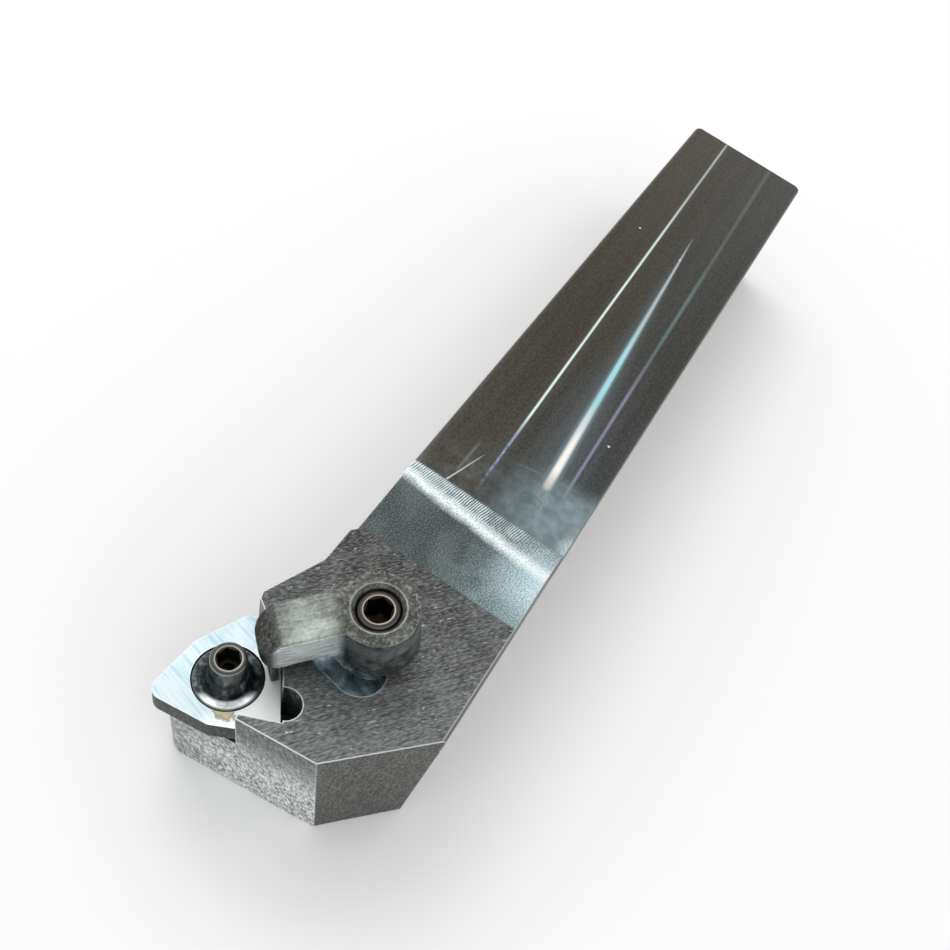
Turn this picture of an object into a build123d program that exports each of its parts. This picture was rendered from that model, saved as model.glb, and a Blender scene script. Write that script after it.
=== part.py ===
from build123d import *
import os
from math import atan2, cos, degrees, radians, sin, sqrt

# Turning tool holder, left hand, for a trigon insert held by a pin and a top clamp.
# Millimetres. The origin is the centre of the ground shank's base face, +X runs
# towards the head, +Y is the reference side that rests in the tool post, +Z is up.

# Shank
shank_width = 19.05
shank_height = 19.05
shank_length = 82.5
shank_edge_round = 0.5
shank_end_round = 1.0

# Whole tool, measured to the nose of the insert that it takes
overall_length = 127.0
functional_width = 25.4
cutting_height = 19.05

# The insert that the pocket is made for
insert_circle = 9.525
insert_thickness = 4.7625
insert_nose_radius = 0.8
nose_angle = 80.0
nose_heading = -45.0
pocket_dip = 7.0

# Head, measured back from the insert's nose and in from it
head_drop = 0.45
blend_start_back = 36.25
blend_end_back = 25.55
step_back = 25.05
step_run = 0.6
step_out = 0.475
flare_back = 19.85
flare_stand_out = 0.5
front_back = 1.55
front_in = 12.975
front_heading = 96.0
front_lean = 8.5
bevel_back = 2.05
bevel_in = 17.075
bevel_heading = 137.0
bevel_lean = 1.5
flank_lean = 6.0
flank_run_out = 0.6
end_lean = 3.0
end_run_out = 3.0
end_inset = 0.2
nose_edge_round = 2.2
head_edge_break = 0.35
wall_edge_break = 0.35
wall_break_heading = 162.5

# Pocket
wall_gap = 0.05
short_wall_run = 3.95
relief_radius = 1.6
relief_along = 1.85
relief_out = 0.23

# Seat
seat_thickness = 3.175
seat_corner_radius = 1.2
seat_blunt_radius = 0.6
seat_chamfer_height = 0.8
seat_chamfer_width = 0.45
seat_bore_radius = 2.4

# Lock pin
pin_head_radius = 1.70
pin_head_height = 3.9
pin_head_break = 0.2
pin_neck_height = 1.5
pin_root_radius = 2.05
pin_root_height = 0.55
pin_fillet_radius = 0.5
flange_radius = 3.32
flange_gap = 0.06
flange_thickness = 1.1
flange_dish = 0.08
flange_seating_gap = 0.02
thread_radius = 2.083
thread_clearance = 0.05
thread_end_break = 0.33
pin_end_above_base = 1.2
pin_socket_flats = 2.0
pin_socket_depth = 2.3
pin_socket_well_radius = 0.75
pin_socket_well_depth = 1.0

# Clamp and its screw, in the screw's own frame: x towards the nose, z up the screw
clamp_distance = 12.05
clamp_heading = 136.7
clamp_top_z = 25.4
clamp_tilt = 12.0
boss_radius = 3.8
boss_foot_radius = 4.15
boss_depth = 5.6
arm_near = 1.8
arm_far = 2.75
arm_ridge = 9.0
arm_front = 11.0
arm_front_drop = 2.3
arm_nose_depth = 4.0
arm_depth = 3.9
nose_round = 1.5
foot_front = 10.25
foot_thickness = 0.8
foot_half_width = 1.3
foot_rest_gap = 0.02
leg_start = 0.4
leg_reach = 3.5
leg_side = 0.6
leg_depth = 7.3
leg_brace = 4.7
screw_length = 19.05
screw_below_top = 0.3
screw_neck_radius = 1.55
screw_neck_top = 8.2
screw_neck_length = 1.6
screw_socket_flats = 2.38
screw_socket_depth = 3.2
clamp_mouth_radius = 2.45
clamp_mouth_depth = 0.35
recess_radius = 2.55
recess_from = (2.3, 2.7)
recess_to = (3.86, 0.14)
recess_depth = 8.35

BIG = 60.0
RISING = (Align.CENTER, Align.CENTER, Align.MIN)
HANGING = (Align.CENTER, Align.CENTER, Align.MAX)


def heading(angle):
    """Level unit vector at an angle from +X."""
    return Vector(cos(radians(angle)), sin(radians(angle)), 0)


UP = Vector(0, 0, 1)
nose_x = overall_length - shank_length / 2
nose_y = shank_width / 2 - functional_width
blend_start_x = nose_x - blend_start_back
blend_end_x = nose_x - blend_end_back
head_top = shank_height - head_drop


def reach(half_angle):
    """Distance from the middle of the trigon to a sharp corner of this half angle."""
    return insert_circle / 2 / sin(radians(half_angle))


sharp_reach = reach(nose_angle / 2)
blunt_reach = reach((240 - nose_angle) / 2)


def seat_frame():
    """Frame on the middle of the seat's top face, x towards the cutting nose."""
    dip = radians(pocket_dip)
    nose = heading(nose_heading)
    axis = nose * sin(dip) + UP * cos(dip)
    along = nose * cos(dip) - UP * sin(dip)
    shift = insert_nose_radius * (cos(radians(45)) / sin(radians(nose_angle / 2)) - 1)
    corner = Vector(nose_x + shift, nose_y - shift, cutting_height)
    centre = corner - along * sharp_reach - axis * insert_thickness
    return Plane(origin=centre, x_dir=along, z_dir=axis)


def clamp_frame():
    """Frame on the middle of the clamp's boss, z up the tilted screw."""
    tilt = radians(clamp_tilt)
    back = heading(clamp_heading)
    level = SEAT.origin + back * clamp_distance
    origin = Vector(level.X, level.Y, clamp_top_z)
    axis = UP * cos(tilt) - back * sin(tilt)
    along = UP * -sin(tilt) - back * cos(tilt)
    return Plane(origin=origin, x_dir=along, z_dir=axis)


SEAT = seat_frame()
CLAMP = clamp_frame()


def polar(radius, angle):
    """Point in a sketch at a radius and an angle."""
    return (radius * cos(radians(angle)), radius * sin(radians(angle)))


def trigon(extra=0.0):
    """The six corners of the trigon, sharp and blunt in turn, grown by a gap."""
    sharp = sharp_reach + extra / sin(radians(nose_angle / 2))
    blunt = blunt_reach + extra / sin(radians((240 - nose_angle) / 2))
    return [polar(blunt if k % 2 else sharp, 60 * k) for k in range(6)]


def towards(start, end, run):
    """Point a given run from start on the way to end."""
    length = sqrt((end[0] - start[0]) ** 2 + (end[1] - start[1]) ** 2)
    share = run / length
    return (start[0] + (end[0] - start[0]) * share, start[1] + (end[1] - start[1]) * share)


def filled(points):
    """Flat face inside a ring of straight lines."""
    return make_face(Polyline(*points, close=True))


def nearest_edge(solid, point):
    """The edge of a solid whose middle lies closest to a point."""
    return min(solid.edges(), key=lambda edge: (edge.position_at(0.5) - Vector(*point)).length)


def shank_block():
    """Ground shank with rounded long edges and a rounded far end."""
    length = blend_start_x + shank_length / 2
    middle = blend_start_x - length / 2
    block = Pos(middle, 0, shank_height / 2) * Box(length, shank_width, shank_height)
    block = fillet(block.edges().filter_by(Axis.Z).group_by(Axis.X)[0], shank_end_round)
    rims = block.edges().filter_by(Plane.XY)
    front = rims.group_by(Axis.X)[-1]
    return fillet([edge for edge in rims if edge not in front], shank_edge_round)


def flare_points():
    """Where the head's side leaves the shank's line, and where it passes the pocket."""
    far = trigon()[4]
    corner = SEAT.from_local_coords((far[0], far[1], -seat_thickness))
    start = Vector(nose_x - flare_back, -shank_width / 2 - step_out, 0)
    return start, Vector(corner.X, corner.Y - flare_stand_out, corner.Z)


def head_block():
    """The head before milling: its plan view carried through the full height."""
    side = shank_width / 2
    step = nose_x - step_back
    start, end = flare_points()
    far = nose_x + 4
    slope = (end.Y - start.Y) / (end.X - start.X)
    points = [
        (blend_start_x, -side),
        (step, -side),
        (step + step_run, start.Y),
        (start.X, start.Y),
        (far, start.Y + (far - start.X) * slope),
        (far, side),
        (blend_start_x, side),
    ]
    return extrude(filled(points), amount=shank_height)


def head_top_cut():
    """What the head's mill takes off the top: a long hollow blend and a flat."""
    run = blend_end_x - blend_start_x
    radius = (run * run + head_drop * head_drop) / (2 * head_drop)
    half = run / 2
    middle_z = head_top + radius - sqrt(radius * radius - half * half)
    start = (blend_start_x, 0, shank_height)
    middle = (blend_end_x - half, 0, middle_z)
    end = (blend_end_x, 0, head_top)
    far = blend_end_x + BIG
    roof = shank_height + 5
    curve = ThreePointArc(start, middle, end)
    rest = Polyline(end, (far, 0, head_top), (far, 0, roof), (blend_start_x, 0, roof), start)
    return extrude(make_face([curve, rest]), amount=BIG, both=True)


def leaning_cut(start, travel, lean, before, after):
    """Block that mills a face along a heading, leaning in below its start's height."""
    outward = heading(travel - 90)
    normal = outward * cos(radians(lean)) - UP * sin(radians(lean))
    face = Plane(origin=start, x_dir=heading(travel), z_dir=normal)
    width = before + after
    sketch = face * Pos((after - before) / 2, 0) * Rectangle(width, 2 * BIG)
    return extrude(sketch, amount=BIG / 2)


def front_cuts():
    """Mill the two front faces and the two flanks under the seat."""
    corners = trigon()
    tip = SEAT.from_local_coords((corners[0][0], corners[0][1], -seat_thickness))
    blunt = SEAT.from_local_coords((corners[5][0], corners[5][1], -seat_thickness))
    begin, flare = flare_points()
    travel = flare - begin
    flare_heading = degrees(atan2(travel.Y, travel.X))
    front_point = (nose_x - front_back, nose_y + front_in, head_top)
    bevel_point = (nose_x - bevel_back, nose_y + bevel_in, head_top)
    front = leaning_cut(front_point, front_heading, front_lean, BIG, BIG)
    bevel = leaning_cut(bevel_point, bevel_heading, bevel_lean, BIG, BIG)
    flank = leaning_cut(flare, flare_heading, flank_lean, flank_run_out, BIG)
    end_heading = nose_heading + nose_angle / 2
    inward = heading(end_heading + 90) * end_inset
    end = leaning_cut(tip + inward, end_heading, end_lean, (tip - blunt).length + end_run_out, BIG)
    return [front, bevel, flank, end]


def pocket_cut():
    """Open pocket with three walls, standing square on its dipped floor."""
    ring = trigon(wall_gap)
    wall_end = towards(ring[2], ring[1], short_wall_run)
    exit_angle = front_heading - 90 - nose_heading
    lip = polar(BIG, exit_angle)
    long_wall_end = towards(ring[4], ring[3], wall_edge_break)
    away = polar(BIG, -wall_break_heading - nose_heading)
    points = [
        (long_wall_end[0] + away[0], long_wall_end[1] + away[1]),
        long_wall_end,
        ring[3],
        ring[2],
        wall_end,
        (wall_end[0] + lip[0], wall_end[1] + lip[1]),
        (BIG, -BIG),
    ]
    floor = SEAT * Pos(0, 0, -seat_thickness) * filled(points)
    return extrude(floor, amount=BIG / 2)


def relief_cut():
    """Round relief beside the inner corner, so that a sharp insert corner fits."""
    ring = trigon()
    spot = towards(ring[2], ring[3], relief_along)
    angle = 150.0
    out = polar(relief_out, angle)
    place = Pos(spot[0] + out[0], spot[1] + out[1], -seat_thickness)
    hole = SEAT * place * Cylinder(relief_radius, BIG / 3, align=RISING)
    return hole


def recess_cut():
    """Milled slot under the clamp that its leg drops into."""
    first = Pos(*recess_from) * Circle(recess_radius)
    last = Pos(*recess_to) * Circle(recess_radius)
    slot = make_hull((first + last).edges())
    start = CLAMP * Pos(0, 0, -recess_depth) * slot
    return extrude(start, amount=BIG / 4)


def screw_hole(frame, top):
    """Threaded hole through the body, at the thread's nominal size plus its clearance."""
    radius = thread_radius + thread_clearance
    return frame * Pos(0, 0, top) * Cylinder(radius, BIG, align=HANGING)


def break_edges(head):
    """Break the milled head's long edges, round the edge under the nose and the back corner."""
    side = shank_width / 2
    middle_x = nose_x - (step_back + bevel_back) / 2
    tip = SEAT.from_local_coords((sharp_reach, 0, -seat_thickness))
    head = fillet(nearest_edge(head, (tip.X - 1, tip.Y + 1, tip.Z / 2)), nose_edge_round)
    head = chamfer(nearest_edge(head, (middle_x, side, head_top)), head_edge_break)
    head = chamfer(nearest_edge(head, (middle_x, side, 0)), head_edge_break)
    return head


def holder_body():
    """The one machined steel piece."""
    head = head_block() - head_top_cut()
    for cut in front_cuts():
        head = head - cut
    head = head - pocket_cut() - relief_cut()
    head = break_edges(head)
    body = shank_block() + head
    body = body - recess_cut()
    return body - screw_hole(CLAMP, 0) - screw_hole(SEAT, 0)


def seat():
    """Ground trigon seat with a recess for the pin's flange and a broken lower edge."""
    outline = filled(trigon())
    corners = outline.vertices().sort_by_distance((0, 0))
    outline = fillet(corners[:3], seat_blunt_radius)
    corners = outline.vertices().sort_by_distance((0, 0))
    outline = fillet(corners[-3:], seat_corner_radius)
    plate = extrude(outline, amount=-seat_thickness)
    lower = plate.faces().sort_by(Axis.Z)[0].edges()
    plate = chamfer(lower, seat_chamfer_height, seat_chamfer_width)
    recess = Cylinder(flange_radius + flange_gap, flange_thickness + flange_seating_gap, align=HANGING)
    bore = Cylinder(seat_bore_radius, 2 * seat_thickness)
    return SEAT * (plate - recess - bore)


def socket(flats, depth):
    """Hexagon socket cutter hanging down from the origin."""
    return extrude(RegularPolygon(flats / 2, 6, major_radius=False), amount=-depth)


def lock_pin():
    """Pin with a hexagon socket in its head, a dished flange and a threaded shank."""
    base = SEAT.origin.Z / SEAT.z_dir.Z
    end = -(base - pin_end_above_base)
    under = -flange_thickness
    line = [
        (0, pin_head_height),
        (pin_head_radius - pin_head_break, pin_head_height),
        (pin_head_radius, pin_head_height - pin_head_break),
        (pin_head_radius, pin_neck_height),
        (pin_root_radius, pin_root_height),
        (pin_root_radius + pin_fillet_radius, flange_dish - 0.05),
        (flange_radius - 0.15, 0.0),
        (flange_radius, -0.12),
        (flange_radius, under),
        (thread_radius, under),
        (thread_radius, end + thread_end_break),
        (thread_radius - thread_end_break, end),
        (0, end),
    ]
    side = make_face(Polyline(*[(r, 0, z) for r, z in line], close=True))
    pin = revolve(side, Axis.Z)
    top = Pos(0, 0, pin_head_height)
    well = top * Cylinder(pin_socket_well_radius, pin_socket_depth + pin_socket_well_depth, align=HANGING)
    turn = Rot(0, 0, 30)
    pin = pin - top * turn * socket(pin_socket_flats, pin_socket_depth) - well
    return SEAT * pin


def side_view(points):
    """Flat face in the clamp's side plane."""
    return make_face(Polyline(*[(u, 0, w) for u, w in points], close=True))


def across(face, far, near):
    """Carry a side view across the clamp, from its far side to its near side."""
    return extrude(Pos(0, near, 0) * face, amount=far + near, dir=(0, -1, 0))


def arm():
    """Arm from the screw to the nose, hollowed underneath."""
    points = [
        (0, 0),
        (arm_ridge, 0),
        (arm_front, -arm_front_drop),
        (arm_front - 0.1, -arm_nose_depth + 0.5),
        (arm_front - 0.6, -arm_nose_depth),
        (boss_radius - 0.5, -arm_depth),
        (boss_radius - 0.5, -boss_depth),
        (0, -boss_depth),
    ]
    body = across(side_view(points), arm_far, arm_near)
    plan = Pos(0, (arm_near - arm_far) / 2) * Rectangle(2 * arm_front, arm_near + arm_far)
    plan = fillet(plan.vertices(), nose_round)
    return body & (Pos(0, 0, -BIG / 2) * extrude(plan, amount=BIG))


def clamp():
    """Forged clamp: boss round the screw, arm, nose, foot and locating leg."""
    boss = Cone(boss_foot_radius, boss_radius, boss_depth, align=HANGING)
    body = arm() + boss + foot() + leg()
    bore = Cylinder(thread_radius + thread_clearance, BIG)
    mouth = Pos(0, 0, -clamp_mouth_depth) * Cone(
        thread_radius + thread_clearance, clamp_mouth_radius, clamp_mouth_depth, align=RISING
    )
    body = CLAMP * (body - bore - mouth)
    block = Box(BIG, BIG, BIG, align=(Align.MIN, Align.CENTER, Align.MAX))
    return body - SEAT * Pos(-blunt_reach - wall_gap, 0, foot_rest_gap) * block


def foot():
    """Short pad under the nose, made long and then trimmed to the seat's top."""
    place = Pos(foot_front - foot_thickness / 2, 0, 0.5 - arm_nose_depth)
    return place * Box(foot_thickness, 2 * foot_half_width, 5.0, align=HANGING)


def leg():
    """Brace and leg that go down into the slot, so that the clamp cannot swing."""
    points = [
        (leg_start, -1),
        (leg_brace, -1),
        (leg_brace, -arm_depth),
        (leg_reach, -leg_depth),
        (leg_start, -leg_depth),
    ]
    body = across(side_view(points), leg_side, boss_radius)
    barrel = Cylinder(boss_radius, leg_depth, align=HANGING)
    under_arm = Pos(leg_brace, (arm_near - leg_side) / 2, 0) * Box(4, arm_near + leg_side, BIG)
    return body & (barrel + under_arm)


def clamp_screw():
    """Double-ended screw with a hexagon socket in each end and a neck between its threads."""
    top = -screw_below_top
    end = top - screw_length
    edge = thread_radius - thread_end_break
    neck_low = -screw_neck_top - screw_neck_length
    slope = thread_radius - screw_neck_radius
    line = [
        (0, top),
        (edge, top),
        (thread_radius, top - thread_end_break),
        (thread_radius, -screw_neck_top + slope),
        (screw_neck_radius, -screw_neck_top),
        (screw_neck_radius, neck_low),
        (thread_radius, neck_low - slope),
        (thread_radius, end + thread_end_break),
        (edge, end),
        (0, end),
    ]
    side = make_face(Polyline(*[(r, 0, z) for r, z in line], close=True))
    screw = revolve(side, Axis.Z)
    upper = Pos(0, 0, top) * socket(screw_socket_flats, screw_socket_depth)
    lower = Pos(0, 0, end + screw_socket_depth) * socket(screw_socket_flats, screw_socket_depth)
    return CLAMP * (screw - upper - lower)


def build():
    """Write every piece to its own file."""
    os.makedirs("parts", exist_ok=True)
    pieces = {
        "holder_body": holder_body(),
        "seat": seat(),
        "lock_pin": lock_pin(),
        "clamp": clamp(),
        "clamp_screw": clamp_screw(),
    }
    for name, shape in pieces.items():
        export_step(shape, f"parts/{name}.step")


build()
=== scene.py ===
"""Left-hand turning tool holder with a top clamp and a lock pin: finishes, fine shapes, stage."""

from math import cos, pi, radians, sin

import bmesh
import bpy
from bpy.props import FloatProperty, FloatVectorProperty, IntProperty, PointerProperty
from mathutils import Matrix, Vector, noise


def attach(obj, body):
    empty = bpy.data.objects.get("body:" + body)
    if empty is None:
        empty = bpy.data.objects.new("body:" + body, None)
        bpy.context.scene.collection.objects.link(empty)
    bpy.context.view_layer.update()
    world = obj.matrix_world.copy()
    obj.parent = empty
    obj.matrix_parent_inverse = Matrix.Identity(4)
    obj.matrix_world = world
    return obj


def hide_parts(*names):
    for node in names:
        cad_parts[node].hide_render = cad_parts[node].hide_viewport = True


bl_info = {
    "name": "Turning tool holder",
    "version": (1, 0, 0),
    "blender": (4, 5, 0),
    "location": "3D View > Sidebar > Tool Holder",
    "description": "Dresses the packed tool holder: shank, head, seat, lock pin, clamp and screw",
    "category": "Object",
}

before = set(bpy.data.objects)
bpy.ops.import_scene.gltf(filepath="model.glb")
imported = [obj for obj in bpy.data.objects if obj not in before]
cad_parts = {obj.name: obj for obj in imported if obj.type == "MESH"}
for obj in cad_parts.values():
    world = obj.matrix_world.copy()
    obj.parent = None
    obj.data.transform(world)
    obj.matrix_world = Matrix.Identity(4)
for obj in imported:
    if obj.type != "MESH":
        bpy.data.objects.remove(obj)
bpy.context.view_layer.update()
MM = 0.001

# The seat's and the clamp screw's centres and directions, in the row frame.
SEAT_CENTRE = Vector((80.220, -10.345, 15.226)) * MM
SEAT_UP = Vector((0.086175, -0.086175, 0.992546))
SEAT_TO_TIP = Vector((0.70184, -0.70184, -0.12187))
SCREW_CENTRE = Vector((71.450, -2.081, 25.400)) * MM
SCREW_UP = Vector((0.151312, -0.142590, 0.978148))
SCREW_TO_NOSE = Vector((0.711870, -0.670830, -0.207910))

# Places along and above the shank, in millimetres.
SHANK_TOP = 19.05
GROUND_END = 49.4
MILLED_START = 49.3
MILLED_END = 60.6
HEAD_START = 60.3

# The directions that the holder's faces look in, and the one along the bevel beside its front.
UP = Vector((0.0, 0.0, 1.0))
FRONT_OUT = Vector((0.97, -0.20, 0.0))
BEVEL_OUT = Vector((0.68, 0.73, 0.0))
BEVEL_ALONG = Vector((-0.73, 0.68, 0.0))

# The photo's camera: its place, and the directions of its picture.
CAMERA_PLACE = Vector((126.358, 7.700, 110.371)) * MM
CAMERA_RIGHT = Vector((-0.463688, 0.832065, 0.304404))
CAMERA_DOWN = Vector((0.596211, 0.547177, -0.587478))
CAMERA_FORWARD = Vector((-0.655382, -0.090917, -0.749805))

# The place the lamps face, and how far each hangs from it.
LIT_PLACE = Vector((0.045, 0.0, 0.015))
KEY_WAY = Vector((-0.20, -0.34, 0.62))
FILL_WAY = Vector((0.45, 0.40, 0.50))
FLOOR_DROP = 0.05 * MM

# Meeting faces stay sharp above these angles, in degrees.
TURNED_SHARP = 38.0
FORGED_SHARP = 60.0

# The threads' outer radius, the rim of the clamp's hole, and the soft width round that rim.
THREAD_RADIUS = 2.083
HOLE_RIM = 2.7
HOLE_BLEND = 0.5

# Profiles as (radius, height), or (radius, height, flats) where the ring is a hexagon.
PIN_SOCKET = [
    (0.4, 0.62), (0.75, 0.6), (0.75, 1.6), (0.98, 1.62, 1.96), (1.0, 1.7, 2.0), (1.0, 3.78, 2.0),
    (1.18, 3.88), (1.24, 3.9), (1.46, 3.9), (1.56, 3.88), (1.65, 3.8), (1.69, 3.72), (1.70, 3.6),
]
PIN_FLANGE = [
    (1.70, 1.5), (1.79, 1.26), (1.9, 0.98), (1.99, 0.74), (2.05, 0.55), (2.10, 0.36), (2.22, 0.18),
    (2.38, 0.06), (2.55, 0.025), (2.9, 0.018), (3.12, 0.01), (3.2, -0.01), (3.28, -0.06),
    (3.32, -0.14), (3.32, -0.6), (3.32, -1.02), (3.29, -1.08), (3.24, -1.1), (2.14, -1.1),
]
SCREW_WAIST = [
    (2.05, -7.70), (1.58, -8.16), (1.55, -8.24), (1.55, -9.0), (1.55, -9.76), (1.58, -9.84),
    (2.05, -10.3),
]
# From the inside of a socket to the screw's end face, as depths below that face.
SCREW_SOCKET = [
    (0.5, 3.5), (1.1, 3.3), (1.16, 3.22, 2.34), (1.19, 3.14, 2.38), (1.19, 0.14, 2.38),
    (1.40, 0.03), (1.48, 0.0), (1.68, 0.0), (1.80, 0.04), (1.98, 0.2),
]


def tone(red, green, blue):
    """A screen colour, three numbers up to 255, as the linear light that a shader takes."""
    def linear(part):
        part = part / 255
        return part / 12.92 if part <= 0.04045 else ((part + 0.055) / 1.055) ** 2.4
    return (linear(red), linear(green), linear(blue), 1.0)


def standing(centre, up, across):
    """The matrix that stands a turned piece, made round its own Z, on its place in the holder."""
    up = up.normalized()
    across = (across - up * across.dot(up)).normalized()
    side = up.cross(across)
    turn = Matrix((across, side, up)).transposed().to_4x4()
    return Matrix.Translation(centre) @ turn


class Value:
    """One number that varies over a surface. Sums written with it add Math nodes to its tree."""

    def __init__(self, nodes, socket):
        self.nodes = nodes
        self.socket = socket

    def maths(self, operation, *numbers, clamp=False):
        settings = {"operation": operation, "use_clamp": clamp}
        return self.nodes.add("ShaderNodeMath", settings, dict(enumerate(numbers)))

    def __add__(self, other):
        return self.maths("ADD", self, other)

    __radd__ = __add__

    def __sub__(self, other):
        return self.maths("SUBTRACT", self, other)

    def __rsub__(self, other):
        return self.maths("SUBTRACT", other, self)

    def __mul__(self, other):
        return self.maths("MULTIPLY", self, other)

    __rmul__ = __mul__

    def __truediv__(self, other):
        return self.maths("DIVIDE", self, other)

    def __pow__(self, other):
        return self.maths("POWER", self, other)

    def size(self):
        return self.maths("ABSOLUTE", self)

    def part(self):
        return self.maths("FRACT", self)

    def inside(self):
        """Held between 0 and 1."""
        return self.maths("ADD", self, 0.0, clamp=True)

    def above(self, edge, soft):
        """0 below the edge and 1 above it, over a soft width."""
        return ((self - edge) * (1 / soft) + 0.5).inside()

    def below(self, edge, soft):
        return ((edge - self) * (1 / soft) + 0.5).inside()

    def between(self, low, high, soft):
        return self.above(low, soft) * self.below(high, soft)


class Nodes:
    """A node tree that is written as sums: every node that isn't a sum comes from add."""

    def __init__(self, tree):
        self.tree = tree

    def add(self, kind, settings=None, inputs=None, output=0):
        """One node of any type: its settings first, then the values or links of its sockets."""
        node = self.tree.nodes.new(kind)
        for name, value in (settings or {}).items():
            setattr(node, name, value)
        for name, value in (inputs or {}).items():
            if isinstance(value, Value):
                self.tree.links.new(value.socket, node.inputs[name])
            else:
                node.inputs[name].default_value = value
        return Value(self, node.outputs[output])

    def vector(self, operation, *parts, output=0):
        settings = {"operation": operation}
        return self.add("ShaderNodeVectorMath", settings, dict(enumerate(parts)), output)

    def split(self, vector):
        return [self.add("ShaderNodeSeparateXYZ", None, {0: vector}, output=i) for i in range(3)]


class Finish(Nodes):
    """A metal finish in layers. Its places and heights are in millimetres, as real marks are."""

    def __init__(self, name, colour, rough, metal):
        self.material = bpy.data.materials.new(name)
        self.material.use_nodes = True
        super().__init__(self.material.node_tree)
        self.shader = self.tree.nodes["Principled BSDF"]
        here = self.add("ShaderNodeTexCoord", output="Object")
        inputs = {0: here, "Scale": 1000.0}
        self.place = self.add("ShaderNodeVectorMath", {"operation": "SCALE"}, inputs)
        self.facing = self.add("ShaderNodeTexCoord", output="Normal")
        cloud = self.noise((0.3, 0.3, 0.3), 3)
        self.colour = self.mix_colour(cloud * 0.12, (*colour, 1.0), tone(40, 36, 32))
        self.rough = rough
        self.metal = metal
        self.height = None

    def mix_colour(self, share, first, second):
        settings = {"data_type": "RGBA", "clamp_factor": True}
        return self.add("ShaderNodeMix", settings, {0: share, 6: first, 7: second}, output=2)

    def mix_number(self, share, first, second):
        return self.add("ShaderNodeMix", {"data_type": "FLOAT"}, {0: share, 2: first, 3: second})

    def lay(self, share, colour=None, rough=None, metal=None):
        """Lays another finish over what is there, as far as share says."""
        if colour is not None:
            self.colour = self.mix_colour(share, self.colour, colour)
        if rough is not None:
            self.rough = self.mix_number(share, self.rough, rough)
        if metal is not None:
            self.metal = self.mix_number(share, self.metal, metal)

    def vary(self, share, spread, light, dark):
        """Lays one tone where a noise is high and one where it is low, both inside share.

        Each is given as its edge, soft width, strength and tone, and may end with a roughness.
        """
        for side, (edge, soft, strength, *finish) in ((spread.above, light), (spread.below, dark)):
            self.lay(share * side(edge, soft) * strength, *finish)

    def raise_by(self, height):
        """Adds a relief, in millimetres."""
        self.height = height if self.height is None else self.height + height

    def along(self, direction, start=(0.0, 0.0, 0.0)):
        """How far a place lies from start in a direction, in millimetres."""
        way = self.vector("SUBTRACT", self.place, tuple(start))
        return self.vector("DOT_PRODUCT", way, tuple(direction), output=1)

    def faces(self, direction):
        return self.vector("DOT_PRODUCT", self.facing, tuple(direction), output=1)

    def noise(self, stretch, detail=2.0, shift=0.0, rough=0.5):
        """Cloudy noise round 0.5. Stretch gives its lumps in a millimetre along X, Y and Z."""
        offset = (shift, shift * 1.7, shift * 0.6)
        where = self.vector("MULTIPLY_ADD", self.place, tuple(stretch), offset)
        inputs = {"Vector": where, "Scale": 1.0, "Detail": detail, "Roughness": rough}
        return self.add("ShaderNodeTexNoise", None, inputs, output=0)

    def turned_noise(self, directions, stretch, detail=2.0, shift=0.0):
        """Noise that is drawn out along a piece's own directions instead of X, Y and Z."""
        parts = [self.along(d) * s for d, s in zip(directions, stretch)]
        where = self.add("ShaderNodeCombineXYZ", None, dict(enumerate(parts)))
        where = self.vector("ADD", where, (shift, shift * 1.3, shift * 0.7))
        inputs = {"Vector": where, "Scale": 1.0, "Detail": detail}
        return self.add("ShaderNodeTexNoise", None, inputs, output=0)

    def stroke(self, start, end, width, last=None, soft=(3.0, 3.0)):
        """A straight streak on a level face. Its half width goes from width to last."""
        a = Vector((start[0], start[1], 0.0))
        way = Vector((end[0], end[1], 0.0)) - a
        run = self.along(way.normalized(), a)
        off = self.along(Vector((-way.y, way.x, 0.0)).normalized(), a).size()
        ends = run.above(0.0, soft[0]) * run.below(way.length, soft[1])
        wide = width if last is None else run * ((last - width) / way.length) + width
        return (1 - off / wide).inside() * ends

    def spot(self, centre, reach, soft):
        """1 within reach of a place, and 0 outside."""
        return self.vector("DISTANCE", self.place, centre, output=1).below(reach, soft)

    def edges(self, radius, gain):
        """1 on the outer edges, which the finishes lay bright as wear and as a painted highlight,
        and 0 on the faces and in the corners.
        """
        soft = self.add("ShaderNodeBevel", {"samples": 6}, {"Radius": radius * MM})
        flat = self.add("ShaderNodeNewGeometry", output="Normal")
        same = self.vector("DOT_PRODUCT", soft, flat, output=1)
        return ((1 - same) * gain).inside() * (1 - self.corners(radius * 3)).inside()

    def corners(self, reach):
        """1 deep in inner corners, where little of the sky reaches. The finishes lay painted shade
        there.
        """
        settings = {"samples": 6, "only_local": True}
        inputs = {"Distance": reach * MM}
        open_sky = self.add("ShaderNodeAmbientOcclusion", settings, inputs, output="AO")
        return ((0.92 - open_sky) * 2.2).inside()

    def done(self):
        """Links the layers to the shader and gives the finished material."""
        layers = {"Base Color": self.colour, "Roughness": self.rough, "Metallic": self.metal}
        for name, value in layers.items():
            if isinstance(value, Value):
                self.tree.links.new(value.socket, self.shader.inputs[name])
            else:
                self.shader.inputs[name].default_value = value
        if self.height is not None:
            inputs = {"Height": self.height, "Distance": MM, "Strength": 1.0}
            bump = self.add("ShaderNodeBump", None, inputs)
            self.tree.links.new(bump.socket, self.shader.inputs["Normal"])
        return self.material


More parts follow.
